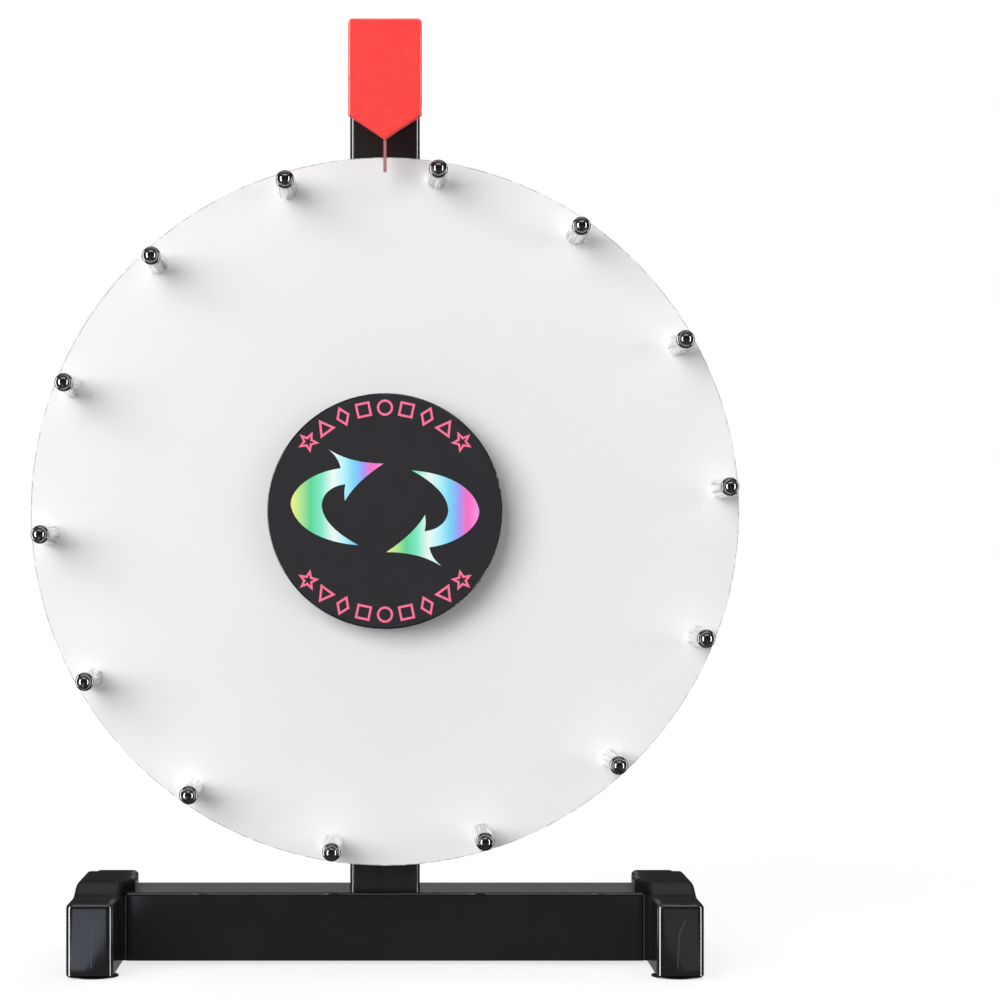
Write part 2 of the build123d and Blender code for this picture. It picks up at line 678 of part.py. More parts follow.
def peg_radius(height):
    """A peg's radius at a height over the writing surface."""
    return (PEG_BASE_D - (PEG_BASE_D - PEG_END_D) * height / PEG_H) / 2


def peg():
    """A tapered bright post, bored for its screw and for its cap's stem, at the top of the wheel."""
    height = PEG_H - PEG_CAP_L
    foot_y, end_y = DISC_FRONT_Y, DISC_FRONT_Y - height
    z = AXLE_Z + PEG_R
    cone = Cone(PEG_BASE_D / 2, peg_radius(height), height)
    body = Pos(0, (foot_y + end_y) / 2, z) * Rot(90, 0, 0) * cone
    body -= rod_y(PEG_SCREW_D / 2 + PRESS, foot_y - PEG_SCREW_DEPTH - 1, 0, 0, z)
    return body - rod_y(PEG_STEM_R + PRESS, end_y - 1, end_y + PEG_STEM_L + 0.4, 0, z)


def peg_tip():
    """A black cap: a collar with a rounded edge, a dome on it and a stem pressed into the post."""
    z = AXLE_Z + PEG_R
    end_y = DISC_FRONT_Y - PEG_H
    joint_y = end_y + PEG_CAP_L
    collar = Cone(peg_radius(PEG_H - PEG_CAP_L), PEG_END_D / 2, PEG_CAP_L)
    rim = collar.edges().filter_by(lambda e: e.center().Z > PEG_CAP_L / 2 - 0.1)
    collar = Pos(0, (joint_y + end_y) / 2, z) * Rot(90, 0, 0) * fillet(rim, PEG_SHOULDER_R)
    dome = Pos(0, end_y - PEG_DOME_OUT, z) * Sphere(PEG_TIP_D / 2)
    return collar + dome + rod_y(PEG_STEM_R, joint_y - 0.5, joint_y + PEG_STEM_L, 0, z)


def peg_screw():
    """A pan-head screw from behind the disc into a peg."""
    z, head_y = AXLE_Z + PEG_R, DISC_BACK_Y + PEG_SCREW_HEAD_T
    head = rod_y(PEG_SCREW_HEAD_D / 2, DISC_BACK_Y, head_y, 0, z)
    head = fillet(head.edges().filter_by(lambda e: e.center().Y > head_y - 0.1), 1.0)
    head = cross_recess(head, 0, head_y, z)
    return head + rod_y(PEG_SCREW_D / 2, DISC_FRONT_Y - PEG_SCREW_DEPTH, DISC_BACK_Y, 0, z)


def hub_body():
    """The moulded hub: a barrel with a bearing seat at each end, and a flange on the writing surface."""
    rear_y = REAR_BEARING_Y + BEARING_W / 2
    front_y = STACK_FRONT_Y
    hub = rod_y(BARREL_D / 2, front_y, rear_y)
    hub += rod_y(FLANGE_D / 2, DISC_FRONT_Y - FLANGE_T, DISC_FRONT_Y)
    lip = RACE_OUT_ID / 2 + 0.3
    hub -= rod_y(lip, front_y - 1, rear_y + 1)
    seat = BEARING_OD / 2 + PRESS
    hub -= rod_y(seat, REAR_BEARING_Y - BEARING_W / 2, rear_y + 1)
    hub -= rod_y(seat, front_y - 1, FRONT_BEARING_Y + BEARING_W / 2)
    return hub_screw_holes(hub, HUB_SCREW_D / 2 + LOOSE)


def hub_rear_flange():
    flange = ring_y(FLANGE_D / 2, BARREL_D / 2 + LOOSE, DISC_BACK_Y, DISC_BACK_Y + REAR_FLANGE_T)
    outer = flange.edges().filter_by(
        lambda e: e.center().Y > DISC_BACK_Y + REAR_FLANGE_T - 0.1 and e.length > 3.2 * FLANGE_D * 0.9
    )
    return hub_screw_holes(fillet(outer, 0.9), HUB_SCREW_D / 2 + PRESS)


def hub_screw():
    """A pan-head screw through flange, disc and rear flange."""
    z = AXLE_Z + HUB_SCREW_PCD / 2
    head_y = DISC_FRONT_Y - FLANGE_T
    top_y = head_y - HUB_SCREW_HEAD_T
    head = rod_y(HUB_SCREW_HEAD_R, top_y, head_y, 0, z)
    head = fillet(head.edges().filter_by(lambda e: e.center().Y < top_y + 0.1), HEAD_ROUND_R)
    head = cross_recess(head, 0, top_y, z)
    return head + rod_y(HUB_SCREW_D / 2, head_y, DISC_BACK_Y + REAR_FLANGE_T, 0, z)


def hub_cap():
    """A shallow round cover with a collar that pushes onto the barrel."""
    r, rim_y = HUB_CAP_D / 2, DISC_FRONT_Y - HUB_CAP_GAP
    cap = rod_y(r, CAP_FRONT_Y, rim_y)
    cap = fillet(cap.edges().filter_by(lambda e: e.center().Y < CAP_FRONT_Y + 0.1), CAP_EDGE_R)
    inside_y = CAP_FRONT_Y + HUB_CAP_WALL
    cap -= rod_y(r - HUB_CAP_WALL, inside_y, 0)
    collar_in, collar_out = BARREL_D / 2 + PRESS, BARREL_D / 2 + CAP_COLLAR_WALL
    collar_y = DISC_FRONT_Y - FLANGE_T - 0.3
    cap += ring_y(collar_out, collar_in, inside_y - 0.4, collar_y)
    rib_low, rib_high = AXLE_Z + collar_out - 0.4, AXLE_Z + r - HUB_CAP_WALL + 0.4
    rib = block(-CAP_RIB_T / 2, CAP_RIB_T / 2, inside_y - 0.4, inside_y + CAP_RIB_H, rib_low, rib_high)
    for k in range(CAP_RIB_COUNT):
        cap += around_axle(rib, 360 / CAP_RIB_COUNT * k)
    return cap


def hub_label():
    return rod_y(LABEL_D / 2, CAP_FRONT_Y - LABEL_T, CAP_FRONT_Y)


# ---- Writing the nodes ---------------------------------------------------------------------------
os.makedirs("parts", exist_ok=True)

save("base_shell", base_shell())
for row, end in (("front", -1), ("rear", 1)):
    for hand, side in (("left", -1), ("right", 1)):
        save(f"suction_cup_{row}_{hand}", suction_cup(side * CUP_X, end * CUP_Y))
save("post", post())
save("post_cap", post_cap())
save("post_foot_plug", post_foot_plug())
save("base_bolts", *[base_bolt(side * BASE_BOLT_PITCH / 2) for side in (-1, 1)])

save("pointer_housing", pointer_housing())
save("pointer_bracket", pointer_bracket())
save("pointer_bolts", *[pointer_bolt(side * POINTER_BOLT_PITCH / 2) for side in (-1, 1)])
save("flapper_pin", flapper_pin())
save("pin_clip", pin_clip())
save("flapper_spacers", *[flapper_spacer(side) for side in (-1, 1)])
save("flapper_blade", flapper_blade())

save("axle_bolt", axle_bolt())
save("axle_washer", ring_y(WASHER_D / 2, AXLE_D / 2 + LOOSE, POST_BACK_Y, POST_BACK_Y + WASHER_T))
spacer_y = POST_FRONT_Y - AXLE_SPACER_L
save("axle_spacer", ring_y(AXLE_SPACER_OD / 2, AXLE_D / 2 + LOOSE, spacer_y, POST_FRONT_Y))
gap_y = REAR_BEARING_Y - BEARING_W / 2
save("race_spacer", ring_y(RACE_IN_OD / 2 - 0.3, AXLE_D / 2 + LOOSE, gap_y - RACE_SPACER_L, gap_y))
save("axle_nut", axle_nut())

for place, y in (("front", FRONT_BEARING_Y), ("rear", REAR_BEARING_Y)):
    save(f"{place}_inner_race", inner_race(y))
    save(f"{place}_outer_race", outer_race(y))
    save(f"{place}_balls", *balls(y))
    save(f"{place}_cage", cage(y))
save("bearing_shields", *shields(FRONT_BEARING_Y), *shields(REAR_BEARING_Y))

save("disc_board", disc_board())
save("disc_face", disc_face())
for k, angle in enumerate(peg_angles()):
    save(f"peg_{k + 1:02d}", around_axle(peg(), angle))
save("peg_tips", *[around_axle(peg_tip(), angle) for angle in peg_angles()])
save("peg_screws", *[around_axle(peg_screw(), angle) for angle in peg_angles()])
save("hub_body", hub_body())
save("hub_rear_flange", hub_rear_flange())
hub_turns = [360 / HUB_SCREW_COUNT * (k + 0.5) for k in range(HUB_SCREW_COUNT)]
save("hub_screws", *[around_axle(hub_screw(), turn) for turn in hub_turns])
save("hub_cap", hub_cap())
save("hub_label", hub_label())
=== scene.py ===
# %% [markdown]
# # The looks of a tabletop prize wheel
#
# A prize wheel is a white dry-erase disc that turns on a black stand, with a ring of bright pegs that
# brush past a red flapper. A CAD model already holds every rigid piece at its real size, so this lesson
# never moves one. It loads them as a fixed frame, gives each its finish, adds the printed foil and ink on
# the hub, and builds the one piece that bends.

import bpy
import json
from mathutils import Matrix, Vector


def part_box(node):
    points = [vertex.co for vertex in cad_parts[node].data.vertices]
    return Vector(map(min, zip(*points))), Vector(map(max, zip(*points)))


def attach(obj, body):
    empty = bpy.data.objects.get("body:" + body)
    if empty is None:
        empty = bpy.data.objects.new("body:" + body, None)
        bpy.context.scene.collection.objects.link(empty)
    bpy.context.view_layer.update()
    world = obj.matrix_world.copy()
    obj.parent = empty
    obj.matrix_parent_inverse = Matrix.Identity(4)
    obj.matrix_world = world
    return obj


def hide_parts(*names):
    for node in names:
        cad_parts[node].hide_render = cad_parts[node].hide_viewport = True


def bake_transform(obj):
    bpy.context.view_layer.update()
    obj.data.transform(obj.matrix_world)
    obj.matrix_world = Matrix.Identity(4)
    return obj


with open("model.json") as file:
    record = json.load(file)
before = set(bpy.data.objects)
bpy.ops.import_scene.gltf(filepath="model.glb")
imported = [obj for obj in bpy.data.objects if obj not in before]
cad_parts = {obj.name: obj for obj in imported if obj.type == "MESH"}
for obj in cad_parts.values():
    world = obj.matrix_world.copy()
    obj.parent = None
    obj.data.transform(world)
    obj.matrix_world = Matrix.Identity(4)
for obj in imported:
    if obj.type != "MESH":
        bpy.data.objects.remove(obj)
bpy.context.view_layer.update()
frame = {"nodes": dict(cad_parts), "record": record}

# %% Imports for the cells below
import json
import math

import bmesh
import bpy
from mathutils import Vector

# %% [markdown]
# ## Where things are
#
# Positions could be typed in, but then a change to the CAD model would leave them behind. Reading each
# node's box instead keeps the disc, the hub label and the flapper in step with the frame.

# %% Read the places that later cells use
MM = 0.001


def middle(node):
    """The centre of a node's box."""
    low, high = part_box(node)
    return (low + high) / 2


disc_low, disc_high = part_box("disc_face")
label_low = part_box("hub_label")[0]
leg_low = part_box("base_shell")[0]
flapper_low, flapper_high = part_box("flapper_blade")
AXLE_Z = middle("disc_face").z
DISC_R = (disc_high.x - disc_low.x) / 2
WRITING_Y = disc_low.y
LABEL_Y = label_low.y
print("disc radius", round(DISC_R / MM, 1), "mm, axle", round(AXLE_Z / MM, 1), "mm above the table")

# %% [markdown]
# ## The camera
#
# Product pictures of a flat disc are taken square on, with a long lens, so that the circle stays round.
# A camera could be turned until the disc sits where it should, but turning makes upright lines lean.
# A lens shift moves the picture sideways without that, as a view camera does, so the camera stays level.

# %% Make a level camera, a little below the axle
CAMERA_AHEAD = 1.25
CAMERA_Z = 0.180
SENSOR_MM = 36.0
DISC_SHARE = 0.708  # of the picture's width
SHIFT_RIGHT = 0.115
SHIFT_UP = 0.048


def make_camera():
    """A camera that faces the disc, with a lens that gives the disc its share of the picture."""
    data = bpy.data.cameras.new("camera")
    data.sensor_width = SENSOR_MM
    data.lens = SENSOR_MM * DISC_SHARE * CAMERA_AHEAD / (2 * DISC_R)
    data.shift_x = SHIFT_RIGHT
    data.shift_y = SHIFT_UP
    camera = bpy.data.objects.new("camera", data)
    camera.location = (0, WRITING_Y - CAMERA_AHEAD, CAMERA_Z)
    camera.rotation_euler = (math.pi / 2, 0, 0)
    bpy.context.scene.collection.objects.link(camera)
    bpy.context.scene.camera = camera
    return camera


camera = make_camera()
print("lens", round(camera.data.lens, 1), "mm")

# %% [markdown]
# ## Shader maths as Python
#
# Every finish is a small program: noise, distance and masks, joined by arithmetic. Wiring each Math node
# by hand hides that arithmetic. This class wraps one output socket, so that `1 - mask * 0.5` adds its own
# Math nodes. The second class is the node tree that they are written in. It has one method that adds any
# other node: its type, its settings, then the values or links of its sockets.

# %% A socket that understands arithmetic
class Signal:
    """One output socket of a node tree."""

    def __init__(self, book, socket):
        self.book = book
        self.socket = socket

    def maths(self, operation, *values):
        """One Math node."""
        return self.book.node("ShaderNodeMath", {"operation": operation}, dict(enumerate(values)))

    def __add__(self, other):
        return self.maths("ADD", self, other)

    def __radd__(self, other):
        return self.maths("ADD", other, self)

    def __sub__(self, other):
        return self.maths("SUBTRACT", self, other)

    def __rsub__(self, other):
        return self.maths("SUBTRACT", other, self)

    def __mul__(self, other):
        return self.maths("MULTIPLY", self, other)

    def __rmul__(self, other):
        return self.maths("MULTIPLY", other, self)

    def __truediv__(self, other):
        return self.maths("DIVIDE", self, other)

    def __rtruediv__(self, other):
        return self.maths("DIVIDE", other, self)

    def also(self, output):
        """Another output of the same node."""
        return Signal(self.book, self.socket.node.outputs[output])


print("sockets add, subtract, multiply and divide")


# %% A node tree that is written by one method
class Book:
    """A node tree: a finish, or the room round the wheel."""

    def __init__(self, tree):
        self.tree = tree

    def node(self, kind, settings=None, inputs=None, output=0):
        """Adds a node, sets it up, fills its sockets and gives one of its outputs."""
        made = self.tree.nodes.new(kind)
        for name, value in (settings or {}).items():
            if name == "stops":
                write_stops(made.color_ramp, value)
            else:
                setattr(made, name, value)
        for name, value in (inputs or {}).items():
            self.plug(value, made.inputs[name])
        return Signal(self, made.outputs[output])

    def plug(self, value, socket):
        """Links a signal to a socket, or sets the socket's own value."""
        if isinstance(value, Signal):
            self.tree.links.new(value.socket, socket)
        else:
            socket.default_value = value

    def between(self, value, low, high):
        """0 below low, 1 above high, and a smooth step from one to the other."""
        inputs = {"Value": value, "From Min": low, "From Max": high}
        return self.node("ShaderNodeMapRange", {"interpolation_type": "SMOOTHSTEP"}, inputs)

    def blend(self, mask, first, second):
        """Goes from the first colour to the second as the mask goes from 0 to 1."""
        inputs = {0: mask, 6: first, 7: second}
        return self.node("ShaderNodeMix", {"data_type": "RGBA"}, inputs, output=2)


def write_stops(ramp, stops):
    """Gives a colour ramp its stops, each a place and a colour."""
    while len(ramp.elements) < len(stops):
        ramp.elements.new(1.0)
    for element, (place, colour) in zip(ramp.elements, stops):
        element.position = place
        element.color = colour


print("any other node comes from Book.node")

# %% [markdown]
# ## What every finish starts from
#
# The pieces have no UV maps, and don't need them: object coordinates are real metres in the frame, so a
# grain of 0.4 mm is written as 0.4 mm on every piece. They also move with a piece when it turns, so
# a mark stays where it was moulded.

# %% A finish: a Principled shader and the patterns that feed it
FINE_LUMPS = 0.55  # strength of each finer octave of noise beside the one before


class Finish(Book):
    """One material. Values that are the same all over it go straight onto the shader's sockets."""

    def __init__(self, name, **constants):
        self.material = bpy.data.materials.new(name)
        self.material.use_nodes = True
        super().__init__(self.material.node_tree)
        self.shader = self.tree.nodes["Principled BSDF"]
        for socket, value in constants.items():
            self.shader.inputs[socket.replace("_", " ")].default_value = value
        self.place = self.node("ShaderNodeTexCoord", output="Object")
        self.x = self.node("ShaderNodeSeparateXYZ", None, {"Vector": self.place})
        self.y = self.x.also("Y")
        self.z = self.x.also("Z")

    def feed(self, socket, value):
        """Links a signal to one of the shader's sockets."""
        self.plug(value, self.shader.inputs[socket])

    def grain(self, size, detail=2.0, stretch=(1.0, 1.0, 1.0), where=None):
        """Noise from 0 to 1 whose lumps are about size metres across, longer where stretch is above 1."""
        scales = tuple(1.0 / (size * s) for s in stretch)
        inputs = {0: where or self.place, 1: scales}
        vector = self.node("ShaderNodeVectorMath", {"operation": "MULTIPLY"}, inputs)
        inputs = {"Vector": vector, "Scale": 1.0, "Detail": detail, "Roughness": FINE_LUMPS}
        return self.node("ShaderNodeTexNoise", None, inputs)

    def relief(self, height, depth):
        """Lets a height from 0 to 1 stand depth metres proud of the surface."""
        inputs = {"Height": height, "Distance": depth}
        self.feed("Normal", self.node("ShaderNodeBump", None, inputs, "Normal"))

    def from_axle(self):
        """Distance from the wheel's axle."""
        flat = self.node("ShaderNodeCombineXYZ", None, {"X": self.x, "Z": self.z - AXLE_Z})
        return self.node("ShaderNodeVectorMath", {"operation": "LENGTH"}, {0: flat}, output="Value")


def grey(value):
    """A neutral colour."""
    return (value, value, value, 1.0)


print("finishes can be grained, raised and measured from the axle")

# %% [markdown]
# ## Glossy black moulding: base, hub and plugs
#
# The base is polished black plastic. It isn't a perfect mirror: the melt shrinks as it sets, which leaves
# a faint waviness a few millimetres wide, and where two fronts of melt met round a core there is a fine
# weld line. A plain low roughness would look like glass. The waviness goes into the relief, and the weld
# lines are drawn as distances to short segments, because they stand in known places on the leg ends.

# %% Weld lines on the fronts of the two legs
LEG_FRONT_SKIN = 0.6 * MM
WELD_HALF = 0.42 * MM
WELD_HEART = (-122.4 * MM, 20.8 * MM)
WELD_BEND = (122.8 * MM, 19.5 * MM)
WELD_LINES = [
    (WELD_HEART, (-122.4 * MM, 5.0 * MM)),
    (WELD_HEART, (-124.3 * MM, 24.4 * MM)),
    (WELD_HEART, (-120.7 * MM, 23.4 * MM)),
    (WELD_BEND, (125.4 * MM, 25.2 * MM)),
    (WELD_BEND, (122.0 * MM, 4.9 * MM)),
]


def weld_line(finish, start, end):
    """1 on a segment in the leg's front, falling to 0 beside it."""
    run = (end[0] - start[0], end[1] - start[1])
    length = math.hypot(*run)
    beside_x = finish.x - start[0]
    beside_z = finish.z - start[1]
    along = (beside_x * run[0] + beside_z * run[1]) / length ** 2
    along = finish.node("ShaderNodeClamp", None, {"Value": along})
    off_x = beside_x - along * run[0]
    off_z = beside_z - along * run[1]
    distance = (off_x * off_x + off_z * off_z) / WELD_HALF ** 2
    return 1 - finish.between(distance, 0.0, 1.0)


def all_weld_lines(finish):
    """Every weld line, kept to the front skin of the legs."""
    lines = [weld_line(finish, start, end) for start, end in WELD_LINES]
    marks = lines[0]
    for line in lines[1:]:
        marks = marks.maths("MAXIMUM", marks, line)
    front = 1 - finish.between(finish.y, leg_low.y + LEG_FRONT_SKIN, leg_low.y + 2 * LEG_FRONT_SKIN)
    return marks * front


print(len(WELD_LINES), "weld lines")


# %% The black moulding itself
def black_moulding(name="black_moulding", with_welds=False):
    """Polished black plastic with moulding waviness and a trace of handling."""
    finish = Finish(name, IOR=1.47)
    wave = finish.grain(6.0 * MM, detail=1.0)
    skin = finish.grain(0.5 * MM, detail=2.0)
    wipe = finish.grain(30.0 * MM, detail=4.0)
    height = wave * 0.86 + skin * 0.14
    gloss = 0.07 + 0.07 * wipe + 0.03 * skin
    if with_welds:
        weld = all_weld_lines(finish)
        height = height + 0.10 * weld
        gloss = gloss + 0.30 * weld
    colour = finish.blend(wipe, (0.0055, 0.0058, 0.0068, 1), (0.0125, 0.0130, 0.0150, 1))
    if with_welds:
        colour = finish.blend(weld * 0.7, colour, (0.060, 0.064, 0.072, 1))
    finish.feed("Base Color", colour)
    finish.feed("Roughness", gloss)
    finish.relief(height, 0.010 * MM)
    return finish


FINISHES = {"black_moulding": black_moulding(), "base_moulding": black_moulding("base_moulding", True)}
print("black mouldings ready")

# %% [markdown]
# ## The post: a drawn black tube
#
# The post is a rectangular tube. A drawn or extruded tube shows faint lines along its length, not the
# round waviness of a moulding. The same noise does for it when its lumps are stretched along Z.

# %% Black tube
def black_tube():
    """Glossy black tube with die lines along it."""
    finish = Finish("black_tube", IOR=1.47)
    lines = finish.grain(0.7 * MM, stretch=(1.0, 1.0, 90.0))
    waves = finish.grain(9.0 * MM, stretch=(1.0, 1.0, 5.0))
    colour = finish.blend(waves, (0.0150, 0.0142, 0.0155, 1), (0.0225, 0.0215, 0.0230, 1))
    finish.feed("Base Color", colour)
    finish.feed("Roughness", 0.15 + 0.08 * lines + 0.05 * waves)
    finish.relief(lines * 0.3 + waves * 0.7, 0.012 * MM)
    return finish


FINISHES["black_post"] = black_tube()
print("post finish ready")

# %% [markdown]
# ## Peg tips, feet and small black parts
#
# The domed caps on the pegs are the glossiest black on the object, with a clear top layer, so they show
# small sharp highlights. Their black is a painted reflection: it stands for the dark room mirrored in a
# bright peg end. The feet are soft rubber, which scatters more light and picks up dust. Screws
# and bearing shields are oxidised steel: dark, but with a metal's shine.

# %% Three more blacks
def dark_reflection_dome():
    """Lacquered black cap with a dome, its black a painted reflection of the dark room."""
    finish = Finish("dark_reflection_dome", IOR=1.5, Coat_Weight=1.0, Coat_Roughness=0.03)
    cloud = finish.grain(2.0 * MM)
    # Painted reflection: the near-black colour stands for the dark room mirrored in a bright dome.
    finish.feed("Base Color", finish.blend(cloud, grey(0.004), (0.008, 0.008, 0.009, 1)))
    finish.feed("Roughness", 0.05 + 0.05 * cloud)
    finish.relief(cloud, 0.004 * MM)
    return finish


def soft_rubber():
    """Black rubber with a fine matt grain and a little dust."""
    finish = Finish("soft_rubber", IOR=1.45)
    dust = finish.between(finish.grain(1.2 * MM, detail=5.0), 0.55, 0.75)
    grain = finish.grain(0.25 * MM)
    finish.feed("Base Color", finish.blend(dust, (0.010, 0.010, 0.011, 1), grey(0.022)))
    finish.feed("Roughness", 0.36 + 0.20 * grain + 0.1 * dust)
    finish.relief(grain, 0.012 * MM)
    return finish


def black_oxide():
    """Oxidised steel, slightly mottled."""
    finish = Finish("black_oxide", Metallic=0.85)
    mottle = finish.grain(0.8 * MM, detail=4.0)
    finish.feed("Base Color", finish.blend(mottle, (0.020, 0.021, 0.024, 1), (0.060, 0.060, 0.064, 1)))
    finish.feed("Roughness", 0.28 + 0.20 * mottle)
    finish.relief(mottle, 0.010 * MM)
    return finish


FINISHES["black_gloss"] = dark_reflection_dome()
FINISHES["black_rubber"] = soft_rubber()
FINISHES["black_steel"] = black_oxide()
print("peg caps, feet and screws ready")

# %% [markdown]
# ## Red plastics
#
# The pointer's housing is a bright coral red moulding, so its colour has to be almost as light in red as
# the white disc, with very little green or blue. The flapper is a thinner, darker, more flexible plastic
# that lets a little light through, which subsurface scattering imitates. Its narrow edge, which the
# players
# see, carries a painted highlight: a pale band, far less red, painted down the middle of its thickness.

# %% Red housing and red strip
WEAR_RISE = 9.0 * MM  # how far up the pegs have worn the strip
# The painted highlight on the strip's narrow edge: full inside the core, gone beyond the reach.
HIGHLIGHT_CORE = 0.35  # of half the strip's thickness: fully pale
HIGHLIGHT_REACH = 0.75  # of half the strip's thickness: red again


def red_moulding():
    """Glossy coral red plastic."""
    finish = Finish("red_moulding", IOR=1.45, Specular_IOR_Level=0.45)
    wave = finish.grain(5.0 * MM, detail=1.0)
    skin = finish.grain(0.45 * MM)
    finish.feed("Base Color", finish.blend(wave, (0.985, 0.062, 0.056, 1), (1.0, 0.066, 0.060, 1)))
    finish.feed("Roughness", 0.20 + 0.06 * wave + 0.06 * skin)
    finish.relief(wave * 0.7 + skin * 0.3, 0.006 * MM)
    return finish


def red_strip():
    """Thin flexible red plastic, calendered along its length, with a painted highlight on its narrow
    edge.
    """
    finish = Finish("red_strip", IOR=1.46, Subsurface_Weight=0.25, Subsurface_Scale=0.001)
    lines = finish.grain(0.3 * MM, stretch=(1.0, 1.0, 30.0))
    wear = finish.between(finish.z, flapper_low.z + WEAR_RISE, flapper_low.z)
    half = (flapper_high.x - flapper_low.x) / 2
    # Painted highlight: a pale band down the middle of the strip's thickness, on its narrow edge.
    edge_band = 1 - finish.between(finish.x * finish.x, (HIGHLIGHT_CORE * half) ** 2, (HIGHLIGHT_REACH * half) ** 2)
    sides = finish.blend(wear * 0.6, (0.60, 0.035, 0.030, 1), (0.66, 0.12, 0.11, 1))
    finish.feed("Base Color", finish.blend(edge_band * 0.9, sides, (0.40, 0.29, 0.30, 1)))
    finish.feed("Roughness", 0.28 + 0.10 * lines + 0.15 * wear)
    finish.relief(lines, 0.006 * MM)
    return finish


FINISHES["red_moulding"] = red_moulding()
FINISHES["red_strip"] = red_strip()
print("reds ready")

# %% [markdown]
# ## The writing surface
#
# The disc is a rigid board with a white dry-erase laminate on its face. The laminate is nearly uniform:
# a faint print-roller texture and the palest clouding are all that keep it from looking computed. A thin
# grey line runs round the rim of its face, broken in places, and since nothing else outlines a white disc
# on a white ground, that fine grey rim matters.

# %% Laminate with a grey line round its rim
RIM_LINE_W = 0.42 * MM
RIM_LINE_FULL = 0.4 * RIM_LINE_W  # the outer part of the rim, where the grey is full


def dry_erase_laminate():
    """White laminate, with a thin grey line round the rim of its face."""
    finish = Finish("dry_erase_laminate", IOR=1.45, Specular_IOR_Level=0.3)
    cloud = finish.grain(60.0 * MM, detail=2.0)
    roller = finish.grain(0.9 * MM, detail=3.0)
    line_breaks = finish.grain(3.0 * MM, detail=3.0)
    # A grey line round the rim of the face, broken in places by noise.
    rim_line = finish.between(finish.from_axle(), DISC_R - RIM_LINE_W, DISC_R - RIM_LINE_FULL)
    edge_band = rim_line * finish.between(line_breaks, 0.30, 0.62)
    white = finish.blend(cloud, (0.875, 0.875, 0.878, 1), grey(0.885))
    finish.feed("Base Color", finish.blend(edge_band * 0.85, white, (0.20, 0.205, 0.21, 1)))
    finish.feed("Roughness", 0.22 + 0.06 * roller + 0.3 * edge_band)
    finish.relief(roller, 0.003 * MM)
    return finish


FINISHES["dry_erase_white"] = dry_erase_laminate()
print("laminate ready")


# %% The board behind it
CUT_EDGE = 0.5 * MM  # depth to which the cut edge shows its cells
CELL = 0.45 * MM


def foam_board():
    """Rigid white board: smooth paper on the back, open cells on the cut edge."""
    finish = Finish("foam_board", IOR=1.4, Specular_IOR_Level=0.3)
    edge = finish.between(finish.from_axle(), DISC_R - CUT_EDGE, DISC_R - 0.4 * CUT_EDGE)
    cells = finish.node("ShaderNodeTexVoronoi", None, {"Vector": finish.place, "Scale": 1 / CELL})
    fibre = finish.grain(0.35 * MM, detail=4.0)
    cell_shade = finish.between(cells, 0.1, 0.7)
    paper = finish.blend(fibre, (0.76, 0.755, 0.74, 1), (0.82, 0.818, 0.81, 1))
    foam = finish.blend(cell_shade, grey(0.50), (0.74, 0.74, 0.735, 1))
    finish.feed("Base Color", finish.blend(edge, paper, foam))
    finish.feed("Roughness", 0.48 + 0.30 * edge + 0.1 * fibre)
    finish.relief(edge * cell_shade + (1 - edge) * fibre * 0.12, 0.05 * MM)
    return finish


FINISHES["foam_board"] = foam_board()
print("board ready")

# %% [markdown]
# ## Metals
#
# The pegs are turned and brightly plated, so they mirror the white disc and the dark room in streaks.
# Real turned metal keeps faint rings round its axis. Noise that is stretched across the peg and short
# along it gives those rings, and noise that is stretched along it gives dark grey streaks painted into
# the plating's colour: a painted reflection of the room. The bearings are ground, so their rings run
# round the axle, and the noise there is measured by radius. Zinc plate is duller and has a fine crystal
# pattern.

# %% Bright pegs and zinc
CRYSTAL = 0.9 * MM


def bright_plate():
    """Bright plating on a turned peg, with painted reflection streaks."""
    finish = Finish("bright_plate", Metallic=1.0)
    rings = finish.grain(0.35 * MM, detail=3.0, stretch=(40.0, 1.0, 40.0))
    streaks = finish.grain(1.1 * MM, detail=2.0, stretch=(1.0, 40.0, 1.0))
    # Painted reflection: dark grey streaks along the peg, painted into its colour.
    painted_streak = finish.between(streaks, 0.40, 0.66)
    finish.feed("Base Color", finish.blend(painted_streak, grey(0.90), (0.30, 0.30, 0.31, 1)))
    finish.feed("Roughness", 0.05 + 0.06 * rings + 0.10 * painted_streak)
    finish.relief(rings * 0.6 + streaks * 0.4, 0.005 * MM)
    return finish


def zinc_plate():
    """Bright zinc with a fine crystal pattern."""
    finish = Finish("zinc_plate", Metallic=1.0)
    inputs = {"Vector": finish.place, "Scale": 1 / CRYSTAL}
    crystal = finish.node("ShaderNodeTexVoronoi", None, inputs, "Color")
    facet = finish.node("ShaderNodeSeparateColor", None, {"Color": crystal}, "Red")
    haze = finish.grain(4.0 * MM, detail=3.0)
    finish.feed("Base Color", finish.blend(facet, (0.58, 0.60, 0.63, 1), (0.74, 0.75, 0.77, 1)))
    finish.feed("Roughness", 0.24 + 0.12 * facet + 0.10 * haze)
    finish.relief(facet * 0.4 + haze * 0.6, 0.010 * MM)
    return finish


FINISHES["bright_metal"] = bright_plate()
FINISHES["zinc_steel"] = zinc_plate()
print("plated metals ready")


# %% Bearing steel, brass and nylon
def ground_steel(name, dark, light, shine):
    """Metal with fine rings round the axle."""
    finish = Finish(name, Metallic=1.0)
    radius = finish.node("ShaderNodeCombineXYZ", None, {"X": finish.from_axle(), "Y": finish.y})
    rings = finish.grain(0.12 * MM, detail=3.0, stretch=(1.0, 6.0, 1.0), where=radius)
    haze = finish.grain(2.5 * MM)
    finish.feed("Base Color", finish.blend(haze, dark, light))
    finish.feed("Roughness", shine + 0.12 * rings)
    finish.relief(rings, 0.004 * MM)
    return finish


